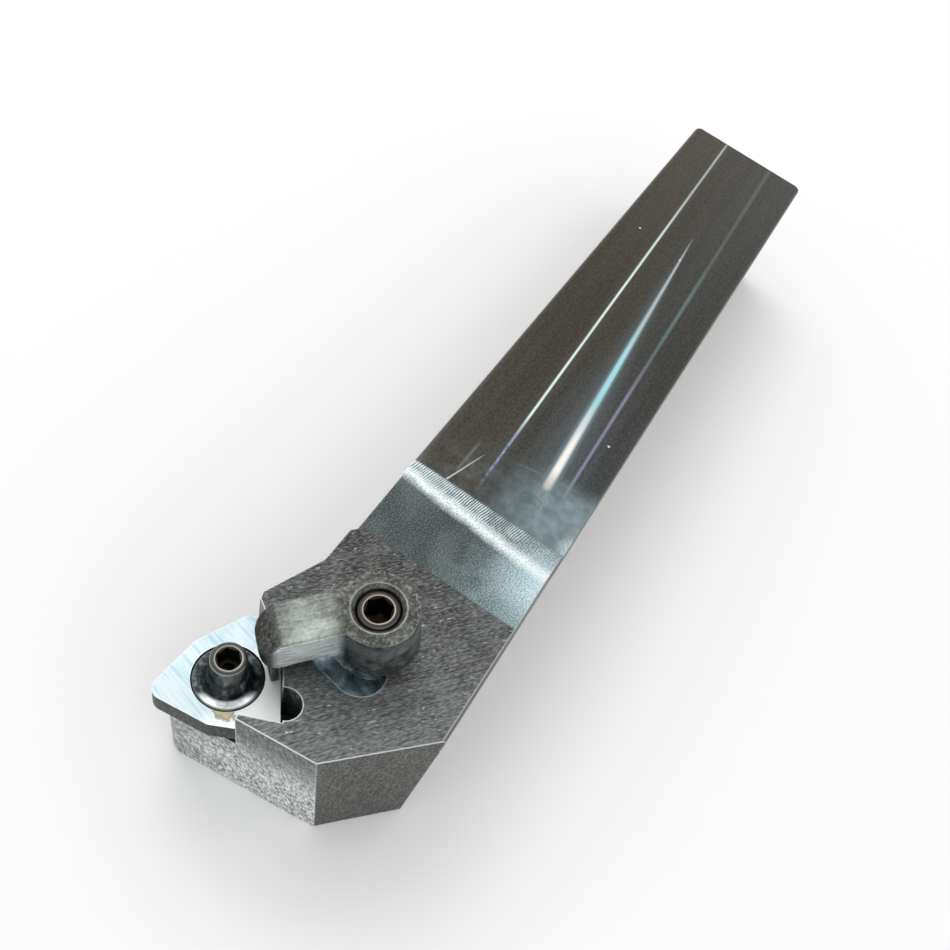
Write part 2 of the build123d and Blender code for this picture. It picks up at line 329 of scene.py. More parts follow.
def shank_top(steel, x, y, up):
    """The ground top of the shank: dark, with streaks, painted reflection lines, specks and a
    scratch.
    """
    start = 41.6 - 0.25 * y + 0.012 * y * y
    dark = up * x.below(GROUND_END, 0.3)
    grain = steel.noise((2.2, 4.0, 0.0), 4, 2.0)
    fine = steel.noise((0.05, 9.0, 0.0), 3, 2.0)
    wide = steel.noise((0.02, 0.45, 0.0), 2, 7.0)
    steel.lay(dark, tone(68, 62, 52), 0.28, 0.9)
    steel.lay(dark * y.above(0.5, 9.0), tone(62, 64, 62))
    steel.lay(dark * x.above(24.0, 24.0) * y.below(-1.0, 6.0) * 0.5, tone(84, 82, 78))
    steel.lay(dark * x.above(26.0, 26.0) * y.above(-1.0, 5.0) * 0.7, tone(80, 87, 91))
    steel.lay(dark * wide.below(0.46, 0.2) * 0.4, tone(46, 43, 37))
    steel.lay(dark * fine.above(0.58, 0.3) * 0.22, tone(90, 90, 84))
    steel.vary(dark, grain, (0.55, 0.16, 0.28, tone(92, 88, 78)),
               (0.45, 0.16, 0.35, tone(42, 40, 36)))
    painted_reflection_lines(steel, x, up, fine)
    for speck in ((-8.8, -6.4), (-7.3, 0.8), (31.6, 6.9)):
        steel.lay(up * steel.spot((speck[0], speck[1], SHANK_TOP), 0.15, 0.1),
                  tone(225, 228, 226), 0.4)
    steel.lay(up * steel.stroke((50.2, -5.8), (43.6, -4.0), 0.17, 0.05, (0.8, 1.0)),
              tone(206, 210, 206), 0.4)
    steel.lay(up * steel.stroke((47.4, -5.3), (42.6, -5.2), 0.12, 0.3, (0.8, 2.0)) * fine,
              tone(150, 146, 146))
    arc = (x - start).size().below(0.07, 0.12) * y.above(-1.5, 3.0)
    steel.lay(up * arc * wide.above(0.48, 0.2) * fine.above(0.45, 0.3) * 0.55, tone(150, 160, 160))
    steel.raise_by(up * x.below(GROUND_END, 0.3) * fine * 0.0016)
    return start


def painted_reflection_lines(steel, x, up, fine):
    """Three long painted reflections of the light down the shank, the middle one widest at its
    lower end, with a painted glow round it.
    """
    steel.lay(up * steel.stroke((-42.0, -4.0), (45.0, -2.4), 1.0, None, (8.0, 6.0)) * 0.15,
              tone(104, 106, 102))
    broken = steel.noise((1.9, 2.4, 0.0), 4, 12.0).above(0.46, 0.35)
    first = steel.stroke((-42.0, -4.0), (46.0, -2.35), 0.24, 0.22, (8.0, 5.0))
    first = first * (0.5 + 0.5 * x.above(-14.0, 26.0)) * (0.5 + fine.above(0.35, 0.3) * 0.8)
    steel.lay(up * first * x.below(37.0, 6.0), tone(232, 250, 246), 0.22)
    steel.lay(up * first * x.above(37.0, 6.0) * broken, tone(156, 170, 204), 0.22)
    steel.lay(up * first * x.below(-14.0, 14.0) * 0.5, tone(140, 136, 156))
    halo = steel.stroke((-6.0, 0.7), (46.0, 3.9), 0.8, 3.2, (14.0, 6.0))
    steel.lay(up * halo * 0.42, tone(108, 122, 126))
    glow = steel.stroke((-10.0, 0.7), (42.8, 3.75), 0.2, 1.15, (8.0, 1.0))
    steel.lay(up * glow * 0.75, tone(150, 172, 182), 0.22)
    second = steel.stroke((-10.0, 0.7), (42.6, 3.75), 0.14, 0.62, (8.0, 0.8))
    second = (second * 1.3).inside() * (0.6 + fine.above(0.38, 0.3) * 0.6)
    steel.lay(up * second * 0.9, tone(186, 188, 196), 0.22)
    steel.lay(up * second * x.between(12.0, 30.0, 12.0) * 0.9, tone(160, 226, 232))
    steel.lay(up * second * x.above(31.0, 8.0), tone(252, 248, 240))
    end = steel.spot((44.0, 4.15, SHANK_TOP), 0.8, 1.6) * 0.9
    end = end + steel.stroke((43.0, 4.0), (48.6, 5.2), 0.9, 0.4, (0.5, 1.5)) * 0.5
    steel.lay(up * end.inside() * broken * 0.9, tone(186, 214, 220), 0.3)
    third = steel.stroke((-42.0, 3.9), (43.0, 5.9), 0.5, 0.24, (6.0, 3.0))
    steel.lay(up * third * 0.45, tone(120, 126, 122))
    steel.lay(up * third * x.between(-6.0, 14.0, 10.0) * 0.5, tone(104, 142, 142))
    steel.lay(up * third * x.above(18.0, 10.0) * 0.7, tone(158, 150, 184))


def shank_neck(steel, x, y, up, start):
    """The end of the ground top and the milled blend, with a comb of ribs, a painted glow towards
    the right side and bright bands that are painted highlights.
    """
    mottle = steel.noise((0.6, 0.6, 0.0), 5, 4.0, 0.6)
    patch = steel.noise((0.22, 0.3, 0.0), 3, 8.0)
    fuzz = steel.noise((5.5, 5.5, 0.0), 3, 5.0)
    right = y.above(3.4, 9.0)
    between = up * (x - start).above(0.5, 4.0) * x.below(GROUND_END, 0.3)
    # Lighter and bluer towards the right side (+y): a painted glow.
    steel.lay(between * y.above(-1.0, 6.0) * 0.5, tone(74, 88, 91))
    steel.lay(between * right * 0.7, tone(128, 145, 150))
    steel.lay(between * (0.25 + 0.75 * right) * mottle.above(0.54, 0.3) * 0.6, tone(156, 174, 178))
    # A bright strip along the shank's right edge: a painted highlight.
    steel.lay(up * y.above(8.6, 1.2) * x.between(46.5, 51.0, 2.0) * fuzz.above(0.45, 0.2) * 0.8,
              tone(206, 224, 224))
    milled = up * x.above(MILLED_START, 0.25) * x.below(MILLED_END, 0.3)
    steel.lay(milled, tone(66, 70, 70), 0.42, 0.85)
    # The milled blend lighter towards the right: a painted glow.
    steel.lay(milled * y.above(4.5, 8.0) * 0.85, tone(128, 150, 155))
    steel.lay(milled * mottle.above(0.52, 0.3) * y.above(1.0, 9.0) * 0.6, tone(146, 165, 169))
    steel.lay(milled * patch.below(0.5, 0.16) * y.below(3.0, 8.0) * 0.5, tone(52, 56, 58))
    steel.lay(milled * patch.above(0.54, 0.16) * y.below(4.0, 8.0) * 0.4, tone(100, 109, 112))
    lean = x - y * 0.085 + mottle * 0.9 - 0.45
    tooth = ((y * 3.7 + x * 0.9 + mottle * 1.3 + patch * 2.0).part() - 0.5).size() * 2
    comb = milled * x.above(MILLED_START, 0.4) * (x + mottle * 2.6 - 1.3).below(51.5, 0.7)
    comb = comb * (1 - 0.6 * y.above(4.5, 6.0))
    steel.lay(comb * 0.85, tone(88, 102, 105))
    steel.lay(comb * y.below(-4.5, 4.0) * 0.6, tone(190, 205, 206))
    steel.lay(comb * tooth.above(0.55, 0.5) * (0.4 + 0.6 * mottle.above(0.50, 0.14)),
              tone(226, 238, 240), 0.34)
    steel.lay(comb * tooth.below(0.36, 0.4) * 0.7, tone(52, 58, 61))
    # Two bright bands across the blend: painted highlights.
    broad_highlight = lean.between(50.4, 57.0, 3.4) * y.above(6.0, 5.5)
    steel.lay(milled * broad_highlight * (0.35 + fuzz.above(0.48, 0.25) * 0.65), tone(212, 236, 240))
    second = lean.between(51.4, 52.7, 1.0) * (0.75 + 0.25 * y.above(-4.0, 9.0))
    steel.lay(milled * second * (0.6 + fuzz.above(0.45, 0.2) * 0.4), tone(246, 255, 255), 0.32)
    steel.lay(milled * lean.above(54.0, 3.0) * y.below(0.5, 9.0) * 0.4, tone(70, 73, 73))
    steel.lay(milled * fuzz.above(0.54, 0.16) * (0.14 + 0.3 * y.above(4.0, 7.0)),
              tone(190, 210, 214))
    steel.lay(milled * fuzz.below(0.44, 0.2) * 0.3, tone(58, 64, 66))
    steel.raise_by(comb * tooth * 0.008 + milled * fuzz * 0.003)


def head_top(steel, x, y, z, up):
    """The milled top of the head: matte and dark, with slanting grain, arcs and bright nicks;
    painted light makes it lighter towards the front and the right, and a painted reflection lies
    beside the clamp.
    """
    head = up * x.above(HEAD_START, 0.3) * z.above(17.5, 0.4)
    ways = (Vector((-0.80, 0.60, 0.0)), Vector((0.60, 0.80, 0.0)), UP)
    streak = steel.turned_noise(ways, (1.7, 6.0, 0.0), 5, 3.0)
    line = steel.turned_noise(ways, (0.12, 5.0, 0.0), 3, 5.0)
    nick = steel.turned_noise(ways, (1.3, 6.5, 0.0), 2, 8.0)
    mottle = steel.noise((0.4, 0.4, 0.0), 5, 9.0, 0.6)
    steel.lay(head, tone(62, 63, 60), 0.46, 0.8)
    # Lighter towards the front, the right and the bevel, darker at the back left: painted light.
    steel.lay(head * x.above(75.0, 14.0) * 0.7, tone(104, 108, 108))
    steel.lay(head * y.above(5.0, 7.0) * 0.5, tone(104, 106, 104))
    steel.lay(head * x.below(66.5, 5.0) * y.below(0.0, 8.0) * 0.8, tone(46, 46, 43))
    front = steel.along(BEVEL_OUT, (83.7, 1.2, 0.0)).above(-3.0, 4.0)
    steel.lay(head * front * 0.3, tone(120, 126, 128))
    # A bluish lighter patch beside the clamp: a painted reflection.
    reflection_by_clamp = x.between(72.5, 79.0, 3.0) * y.between(-8.0, -0.5, 3.0)
    steel.lay(head * reflection_by_clamp * 0.6, tone(102, 114, 116))
    steel.vary(head, mottle, (0.54, 0.2, 0.4, tone(122, 124, 122)),
               (0.46, 0.2, 0.45, tone(48, 49, 47)))
    steel.vary(head, line, (0.54, 0.2, 0.25, tone(138, 142, 142)),
               (0.46, 0.2, 0.25, tone(46, 47, 45)))
    steel.vary(head, streak, (0.55, 0.2, 0.38, tone(150, 154, 154)),
               (0.45, 0.2, 0.42, tone(42, 43, 41)))
    a = steel.along((1.0, 0.0, 0.0), (70.6, 0.0, 0.0))
    b = steel.along((0.0, 1.0, 0.0), (0.0, -1.5, 0.0))
    radius = (a * a + b * b) ** 0.5
    arcs = ((radius * 1.9 + mottle * 2.4).part() - 0.5).size() * 2
    arcs = radius.between(4.4, 9.5, 2.5) * arcs.above(0.75, 0.6) * x.below(70.0, 5.0)
    steel.lay(head * arcs * 0.12, tone(140, 140, 134))
    steel.lay(head * nick.above(0.72, 0.04) * 0.85, tone(206, 212, 212), 0.35)
    steel.raise_by(head * (streak * 0.008 + mottle * 0.010))


def head_front(steel, y, z):
    """The head's front: dark and fine along the top, then coarse and sparkling lower down."""
    front = steel.faces(FRONT_OUT).above(0.9, 0.1)
    ways = (Vector((0.0, 0.94, 0.34)), Vector((0.0, -0.34, 0.94)), Vector((1.0, 0.0, 0.0)))
    grain = steel.turned_noise(ways, (4.0, 1.5, 0.0), 5, 1.0)
    fleck = steel.turned_noise(ways, (6.0, 2.2, 0.0), 3, 5.0)
    streak = steel.turned_noise(ways, (2.2, 0.25, 0.0), 3, 7.0)
    cloud = steel.noise((0.0, 0.4, 0.4), 4, 4.0)
    steel.lay(front, tone(60, 66, 64), 0.46, 0.8)
    low = z.below(11.2, 8.0) * (0.06 + 0.94 * y.above(-10.8, 7.5))
    steel.lay(front * low, tone(216, 224, 222))
    steel.lay(front * y.above(-3.6, 2.2) * z.below(13.0, 8.0) * 0.55, tone(214, 216, 204))
    steel.lay(front * cloud.above(0.52, 0.16) * (0.04 + low * 0.5), tone(232, 240, 238))
    steel.lay(front * cloud.below(0.47, 0.16) * 0.4, tone(92, 100, 98))
    steel.vary(front, streak, (0.52, 0.2, 0.3, tone(146, 154, 152)),
               (0.47, 0.2, 0.4, tone(74, 81, 79)))
    rough = 0.16 + low * 0.84
    steel.vary(front * rough, grain, (0.54, 0.14, 0.85, tone(244, 250, 248), 0.38),
               (0.45, 0.14, 0.75, tone(84, 92, 90)))
    steel.lay(front * rough * fleck.above(0.57, 0.06), tone(255, 255, 255))
    steel.lay(front * rough * fleck.below(0.40, 0.08) * 0.8, tone(50, 56, 56))
    steel.raise_by(front * (grain * 0.035 + fleck * 0.02) * rough)


def head_bevel(steel):
    """The slanting face beside the front: dark grey, with faint upright streaks."""
    bevel = steel.faces(BEVEL_OUT).above(0.9, 0.1)
    ways = (BEVEL_ALONG, BEVEL_OUT, UP)
    streak = steel.turned_noise(ways, (2.6, 0.0, 0.4), 4, 6.0)
    grain = steel.turned_noise(ways, (4.2, 0.0, 2.6), 4, 4.0)
    steel.lay(bevel, tone(54, 55, 51), 0.42, 0.8)
    corner = steel.along(BEVEL_ALONG, (84.2, -2.9, 0.0)).below(5.0, 4.0)
    steel.lay(bevel * corner * 0.4, tone(104, 104, 98))
    steel.vary(bevel, streak, (0.54, 0.2, 0.45, tone(108, 110, 105)),
               (0.46, 0.2, 0.45, tone(46, 47, 44)))
    steel.vary(bevel, grain, (0.55, 0.1, 0.6, tone(128, 130, 126)),
               (0.44, 0.1, 0.5, tone(36, 36, 34)))
    steel.raise_by(bevel * (streak * 0.006 + grain * 0.006))


def ground_sides(steel, z):
    """The ground sides, base and end of the holder, which the top view doesn't show."""
    streak = steel.noise((0.06, 0.0, 7.0), 3, 11.0)
    cloud = steel.noise((0.12, 0.3, 0.35), 3, 8.0)
    steel.lay(streak.above(0.56, 0.2) * 0.4, tone(150, 152, 150), 0.28)
    steel.lay(streak.below(0.42, 0.2) * 0.4, tone(84, 84, 80), 0.4)
    steel.lay(cloud.above(0.55, 0.25) * 0.35, tone(134, 134, 130), 0.42)
    steel.lay(z.below(2.0, 3.0) * 0.25, tone(88, 84, 78))
    steel.raise_by(streak * 0.0015)


def holder_finish(tones):
    """Everything on the holder's body, from the ground shank to the milled head."""
    steel = Finish("ground_and_milled_steel", tones.ground_steel, 0.34, 0.85)
    x, y, z = steel.split(steel.place)
    up = steel.faces(UP).above(0.75, 0.1)
    ground_sides(steel, z)
    start = shank_top(steel, x, y, up)
    shank_neck(steel, x, y, up, start)
    head_top(steel, x, y, z, up)
    head_front(steel, y, z)
    head_bevel(steel)
    pocket = x.above(66.0, 1.0) * z.below(18.35, 0.2) * steel.faces(UP).above(-0.4, 0.1)
    inner = pocket * steel.faces(FRONT_OUT).below(0.85, 0.05)
    inner = inner * steel.faces(BEVEL_OUT).below(0.85, 0.05) * z.above(6.0, 3.0)
    inner = inner * y.between(-13.5, 8.5, 0.6)
    steel.lay(inner * 0.8, tone(66, 74, 78), 0.36)
    # Painted shade in the inner corners.
    steel.lay(steel.corners(1.4) * 0.7, tone(38, 35, 31), 0.55)
    # The slot under the clamp's arm: a bluish painted reflection, with bright and dark ripples.
    slot = steel.spot((74.2, -1.5, 17.0), 4.4, 0.8) * steel.faces(SCREW_UP).above(0.9, 0.1)
    slot = slot * z.below(18.2, 0.2)
    ripple = steel.noise((0.8, 0.8, 0.8), 3, 6.0)
    steel.lay(slot, tone(150, 180, 194), 0.3)
    steel.vary(slot, ripple, (0.52, 0.15, 0.8, tone(216, 236, 242), 0.26),
               (0.42, 0.1, 0.6, tone(84, 100, 110), 0.26))
    # The outer edges: bright with wear and a painted highlight.
    wear_and_highlight = steel.edges(0.26, 7.0)
    steel.lay(wear_and_highlight * 0.9, tone(228, 234, 232), 0.3)
    return steel.done()


def seat_finish(tones):
    """The seat's top is ground carbide painted nearly white as a reflection of the light, with
    painted reflection tones in places; its sides are painted plain dark grey as shade.
    """
    carbide = Finish("ground_carbide", tones.seat_top, 0.36, 0.55)
    up = carbide.faces(SEAT_UP).above(0.85, 0.1)
    ways = (Vector((0.30, 0.95, 0.0)), Vector((0.95, -0.30, 0.0)), UP)
    rub = carbide.turned_noise(ways, (0.25, 3.5, 0.0), 3, 2.0)
    haze = carbide.noise((0.35, 0.35, 0.35), 3, 5.0)
    x = carbide.along((1.0, 0.0, 0.0))
    y = carbide.along((0.0, 1.0, 0.0))
    # The sides: dark grey, painted shade.
    carbide.lay(1 - up, tone(30, 33, 34), 0.42)
    # The top's tone where x is below 80.5: a painted reflection.
    carbide.lay(up * x.below(80.5, 5.0) * 0.9, tone(194, 211, 217))
    carbide.lay(up * haze.above(0.50, 0.25) * 0.4 * x.below(80.5, 5.0), tone(156, 178, 186), 0.42)
    carbide.vary(up, rub, (0.57, 0.12, 0.6, tone(140, 174, 184)),
                 (0.42, 0.1, 0.45, tone(170, 180, 180)))
    # The top nearly white where y is above -9.2: a painted reflection.
    carbide.lay(up * y.above(-9.2, 2.0), tone(250, 255, 255), 0.42, 0.3)
    spot = carbide.vector("DISTANCE", carbide.place, (82.9, -8.55, 14.6), output=1)
    stain = spot + carbide.noise((1.6, 1.6, 1.6), 3, 3.0) * 1.6
    carbide.lay(up * stain.below(1.75, 0.5) * 0.75, tone(196, 180, 92), 0.55)
    carbide.lay(up * stain.between(1.6, 1.95, 0.15) * 0.6, tone(120, 108, 74), 0.5)
    grain = carbide.noise((4.0, 4.0, 2.0), 2, 7.0)
    carbide.lay((1 - up) * grain.above(0.55, 0.15) * 0.4, tone(96, 102, 103))
    carbide.raise_by(rub * 0.002 + grain * 0.002)
    # Painted shade in the inner corners.
    carbide.lay(carbide.corners(0.8) * 0.5, tone(70, 70, 66))
    # The seat's outer edges: wear and a painted highlight.
    carbide.lay(carbide.edges(0.18, 4.0) * 0.6, tone(224, 232, 232), 0.25)
    return carbide.done()


def blackened_finish(name, centre, up, colour, rim):
    """Blackened alloy steel, with turning lines round it and blotches. The pin and the screw add
    rim lines painted as highlights, and painted shade in the hexagon and the corners.
    """
    black = Finish(name, colour, 0.32, 0.85)
    start = centre / MM
    height = black.along(up, start)
    out = black.vector("SUBTRACT", black.place, tuple(start))
    along = black.vector("SCALE", tuple(up))
    black.tree.links.new(height.socket, along.socket.node.inputs["Scale"])
    radius = black.vector("LENGTH", black.vector("SUBTRACT", out, along), output=1)
    rings = black.add("ShaderNodeCombineXYZ", None, {0: radius * 9.0, 1: height * 9.0, 2: 0.0})
    lines = black.add("ShaderNodeTexNoise", None, {"Vector": rings, "Scale": 1.0, "Detail": 2.0})
    blotch = black.noise((0.9, 0.9, 0.9), 3, 4.0)
    black.lay(lines.above(0.58, 0.2) * 0.4, rim, 0.28)
    black.lay(blotch.above(0.56, 0.2) * 0.35, tone(104, 108, 104), 0.4)
    black.raise_by(lines * 0.004 + blotch * 0.004)
    return black, height, radius


def pin_finish(tones):
    """The lock pin: dark cone and flange with painted glints, rim lines painted as highlights, a
    pale low arc that is a painted highlight, and a brown socket.
    """
    black, height, radius = blackened_finish(
        "blackened_pin", SEAT_CENTRE, SEAT_UP, tones.blackened, tone(84, 92, 92))
    cone = height.between(0.5, 3.8, 0.2) * radius.above(1.5, 0.2)
    glint = black.noise((1.6, 1.6, 0.5), 3, 9.0)
    black.lay(cone * 0.7, tone(50, 58, 60), 0.24)
    black.lay(cone * glint.above(0.55, 0.15) * 0.7, tone(132, 144, 146), 0.2)
    flange = height.below(0.35, 0.3) * height.above(-0.6, 0.3)
    black.lay(flange, tone(30, 36, 38), 0.28)
    # A pale arc on the flange's lower side: a painted highlight.
    low = black.along((0.80, 0.60, 0.0), SEAT_CENTRE / MM).above(1.8, 0.9)
    low = low * radius.between(2.45, 3.1, 0.25)
    black.lay(flange * low * 0.95, tone(232, 236, 236), 0.28)
    # The flange's outer rim: a painted highlight.
    black.lay(flange * radius.above(3.1, 0.12) * 0.5, tone(110, 118, 118), 0.3)
    black.lay(flange * glint.above(0.56, 0.15) * 0.35, tone(116, 126, 128), 0.3)
    top = height.above(3.7, 0.1) * radius.above(1.1, 0.1)
    black.lay(top * 0.9, tone(66, 65, 60), 0.34)
    # Thin bright rings at the head's rims: painted highlights.
    black.lay(top * radius.between(1.18, 1.28, 0.06) * 0.8, tone(170, 168, 160), 0.26)
    black.lay(top * radius.between(1.60, 1.72, 0.08) * 0.8, tone(150, 152, 148), 0.26)
    black.lay(height.above(1.2, 0.4) * radius.below(1.14, 0.1), tone(54, 47, 40), 0.4)
    # Painted shade in the inner corners and the hexagon.
    black.lay(black.corners(0.5) * 0.5, tone(24, 22, 20))
    # The pin's outer edges: wear and a painted highlight.
    black.lay(black.edges(0.08, 3.0) * 0.5, tone(160, 162, 156), 0.26)
    return black.done()


def screw_finish(tones):
    """The clamp screw: a dark top, thin bright rings painted as highlights, dark sockets, and
    painted shade in the corners.
    """
    black, height, radius = blackened_finish(
        "blackened_screw", SCREW_CENTRE, SCREW_UP, tones.blackened, tone(92, 88, 80))
    top = height.above(-0.55, 0.1)
    black.lay(top * 0.9, tone(62, 57, 52), 0.36)
    # Thin bright rings round the socket and at the top's edge: painted highlights.
    black.lay(top * radius.between(1.40, 1.50, 0.06) * 0.85, tone(190, 182, 168), 0.26)
    black.lay(top * radius.between(1.80, 1.94, 0.1) * 0.45, tone(140, 136, 126), 0.28)
    black.lay(height.above(-4.5, 0.5) * radius.below(1.39, 0.06), tone(34, 27, 22), 0.45)
    # Painted shade in the inner corners and the hexagon.
    black.lay(black.corners(0.4) * 0.6, tone(24, 22, 20))
    # The screw's outer edges: wear and a painted highlight.
    black.lay(black.edges(0.08, 3.0) * 0.4, tone(150, 142, 130), 0.28)
    return black.done()


def clamp_finish(tones):
    """The forged clamp: dark grey scale, a pale arm top that is a painted sheen with rub marks, a
    dark nose, and thin bright edges of wear and painted highlight.
    """
    forged = Finish("forged_clamp", tones.forged, 0.42, 0.8)
    start = SCREW_CENTRE / MM
    side = SCREW_UP.cross(SCREW_TO_NOSE)
    along = forged.along(SCREW_TO_NOSE, start)
    across = forged.along(side, start)
    height = forged.along(SCREW_UP, start)
    radius = (along * along + across * across) ** 0.5
    up = forged.faces(SCREW_UP).above(0.62, 0.3)
    scale = forged.noise((0.8, 0.8, 0.8), 5, 2.0, 0.6)
    pit = forged.noise((3.2, 3.2, 3.2), 3, 6.0)
    ways = (SCREW_TO_NOSE, side, SCREW_UP)
    rub = forged.turned_noise(ways, (0.5, 3.5, 3.5), 4, 1.0)
    skirt = (1 - up) * along.below(4.5, 1.5)
    forged.lay(skirt * 0.85, tone(88, 93, 92), 0.26)
    arm = up * along.between(3.8, 9.9, 1.6)
    forged.lay(arm, tone(98, 104, 98), 0.42)
    # The arm top paler on its near part and middle: a painted sheen.
    pale = along.between(4.6, 8.2, 2.6) * across.above(-0.6, 3.2)
    forged.lay(arm * pale * 0.8, tone(156, 164, 157), 0.38)
    forged.lay(up * along.below(3.7, 0.8) * 0.85, tone(50, 51, 49), 0.38)
    # A thin bright ring round the screw's hole: a painted highlight.
    forged.lay(up * radius.between(2.50, 2.64, 0.1) * along.below(3.7, 0.8) * 0.6,
               tone(150, 150, 143), 0.28)
    # Bright specks on the boss top's outer rim: wear with a painted highlight.
    wear_and_highlight = up * radius.above(3.5, 0.3) * along.below(3.2, 0.8)
    forged.lay(wear_and_highlight * pit.above(0.52, 0.2) * 0.45, tone(150, 152, 146), 0.32)
    forged.lay(along.above(9.0, 1.6) * (1 - up * 0.1), tone(32, 32, 29), 0.42)
    # The arm's near side painted bright as light, and darker along its lower part as painted shade.
    flank = (1 - up) * across.above(1.6, 0.4) * along.between(3.8, 9.8, 0.8)
    forged.lay(flank, tone(226, 234, 234), 0.4, 0.3)
    forged.lay(flank * height.below(-3.9, 1.0) * 0.8, tone(62, 67, 68))
    forged.lay(flank * rub.below(0.46, 0.2) * 0.5, tone(104, 112, 113))
    forged.lay(scale.above(0.56, 0.2) * (1 - flank * 0.7) * 0.2, tone(140, 144, 138))
    forged.lay(scale.below(0.45, 0.2) * (1 - flank * 0.7) * 0.3, tone(40, 40, 36))
    forged.lay(pit.above(0.60, 0.2) * 0.2, tone(176, 178, 172), 0.32)
    forged.lay(pit.below(0.40, 0.2) * 0.25, tone(36, 35, 31))
    forged.lay(arm * rub.above(0.55, 0.2) * 0.25, tone(176, 181, 174))
    # The boss's side: mottled scale whose bright glossy patches are partly painted glints.
    forged.vary(skirt, scale, (0.55, 0.22, 0.5, tone(160, 168, 170), 0.24),
                (0.45, 0.2, 0.4, tone(34, 37, 39), 0.3))
    # A lighter band on the near side of the boss: a painted highlight.
    forged.lay(skirt * height.between(-2.4, -0.8, 0.8) * across.above(-0.5, 3.0) * 0.4,
               tone(172, 180, 182), 0.24)
    forged.raise_by(scale * 0.035 + pit * 0.022)
    # Painted shade in the inner corners and under the arm.
    forged.lay(forged.corners(1.2) * 0.5, tone(28, 26, 23), 0.6)
    # The clamp's thin bright edges: wear and a painted highlight.
    forged.lay(forged.edges(0.22, 6.0) * 0.75, tone(232, 237, 231), 0.28)
    return forged.done()


def ring(shape, turn, segments):
    """One ring of a turned piece: shape is (radius, height) or (radius, height, flats)."""
    points = []
    for i in range(segments):
        angle = 2 * pi * i / segments
        reach = shape[0]
        if len(shape) == 3:
            within = (angle - radians(turn)) % (pi / 3) - pi / 6
            reach = shape[2] / 2 / cos(within)
        points.append(Vector((cos(angle) * reach, sin(angle) * reach, shape[1])))
    return points


def turned(name, rings, turn, segments):
    """A closed turned piece round Z from its rings, from one end's middle to the other's."""
    mesh = bpy.data.meshes.new(name)
    form = bmesh.new()
    first = form.verts.new(Vector((0.0, 0.0, rings[0][1])) * MM)
    last = form.verts.new(Vector((0.0, 0.0, rings[-1][1])) * MM)
    loops = [[form.verts.new(p * MM) for p in ring(shape, turn, segments)] for shape in rings]
    for i in range(segments):
        j = (i + 1) % segments
        form.faces.new((first, loops[0][j], loops[0][i]))
        form.faces.new((last, loops[-1][i], loops[-1][j]))
        for above, below in zip(loops, loops[1:]):
            form.faces.new((above[i], above[j], below[j], below[i]))
    bmesh.ops.recalc_face_normals(form, faces=form.faces)
    form.to_mesh(mesh)
    form.free()
    piece = bpy.data.objects.new(name, mesh)
    bpy.context.scene.collection.objects.link(piece)
    return piece


def run_down(radius, top, bottom, step):
    """Close rings down a straight shank, for the thread to be cut into."""
    count = max(2, round((top - bottom) / step))
    return [(radius, top + (bottom - top) * i / count) for i in range(count + 1)]


def thread_tree():
    """Geometry nodes that cut thread turns into the outside of a turned shank."""
    tree = bpy.data.node_groups.new("thread_turns", "GeometryNodeTree")
    tree.interface.new_socket("Geometry", in_out="OUTPUT", socket_type="NodeSocketGeometry")
    tree.interface.new_socket("Geometry", in_out="INPUT", socket_type="NodeSocketGeometry")
    for name in ("Pitch", "Depth", "Top", "Bottom", "Hand", "Inner radius"):
        tree.interface.new_socket(name, in_out="INPUT", socket_type="NodeSocketFloat")
    tree.interface.new_socket("Finish", in_out="INPUT", socket_type="NodeSocketMaterial")
    nodes = Nodes(tree)
    given = tree.nodes.new("NodeGroupInput")
    value = {socket.name: Value(nodes, socket) for socket in given.outputs if socket.name}
    place = nodes.add("GeometryNodeInputPosition")
    x, y, z = nodes.split(place)
    angle = y.maths("ARCTAN2", y, x) * (1 / (2 * pi))
    radius = (x * x + y * y) ** 0.5
    turn = (z / value["Pitch"] - angle * value["Hand"]).part()
    groove = (((turn - 0.5).size() * 2.0 - 0.12) * 1.3).inside()
    window = ((value["Top"] - z) / value["Pitch"]).inside()
    window = window * ((z - value["Bottom"]) / value["Pitch"]).inside()
    outside = radius.maths("GREATER_THAN", radius, value["Inner radius"])
    cut = groove * window * outside * value["Depth"] / radius
    shift = nodes.add("ShaderNodeCombineXYZ", None, {0: x * cut * -1.0, 1: y * cut * -1.0, 2: 0.0})
    inputs = {"Geometry": value["Geometry"], "Offset": shift}
    moved = nodes.add("GeometryNodeSetPosition", None, inputs)
    solid = nodes.add("GeometryNodeRealizeInstances", None, {"Geometry": moved})
    inputs = {"Geometry": solid, "Material": value["Finish"]}
    finished = nodes.add("GeometryNodeSetMaterial", None, inputs)
    result = tree.nodes.new("NodeGroupOutput")
    tree.links.new(finished.socket, result.inputs["Geometry"])
    return tree


def cut_thread(piece, tree, sizes, top, bottom, hand, material):
    """Cuts one run of thread turns into a piece and keeps the result as its plain mesh."""
    cutter = piece.modifiers.new("thread", "NODES")
    cutter.node_group = tree
    given = {
        "Pitch": sizes.pitch, "Depth": sizes.depth, "Top": top * MM, "Bottom": bottom * MM,
        "Hand": hand, "Inner radius": sizes.inner_radius, "Finish": material,
    }
    for item in tree.interface.items_tree:
        if item.in_out == "INPUT" and item.name in given:
            cutter[item.identifier] = given[item.name]
    keep_result(piece)


def keep_result(piece):
    """Makes what the modifiers give the piece's own mesh, and removes them."""
    bpy.context.view_layer.update()
    seen = piece.evaluated_get(bpy.context.evaluated_depsgraph_get())
    mesh = bpy.data.meshes.new_from_object(seen)
    piece.modifiers.clear()
    piece.data = mesh


def shade(piece, angle):
    """Smooth shading, with sharp edges where faces meet at more than the angle."""
    for face in piece.data.polygons:
        face.use_smooth = True
    piece.data.set_sharp_from_angle(angle=radians(angle))


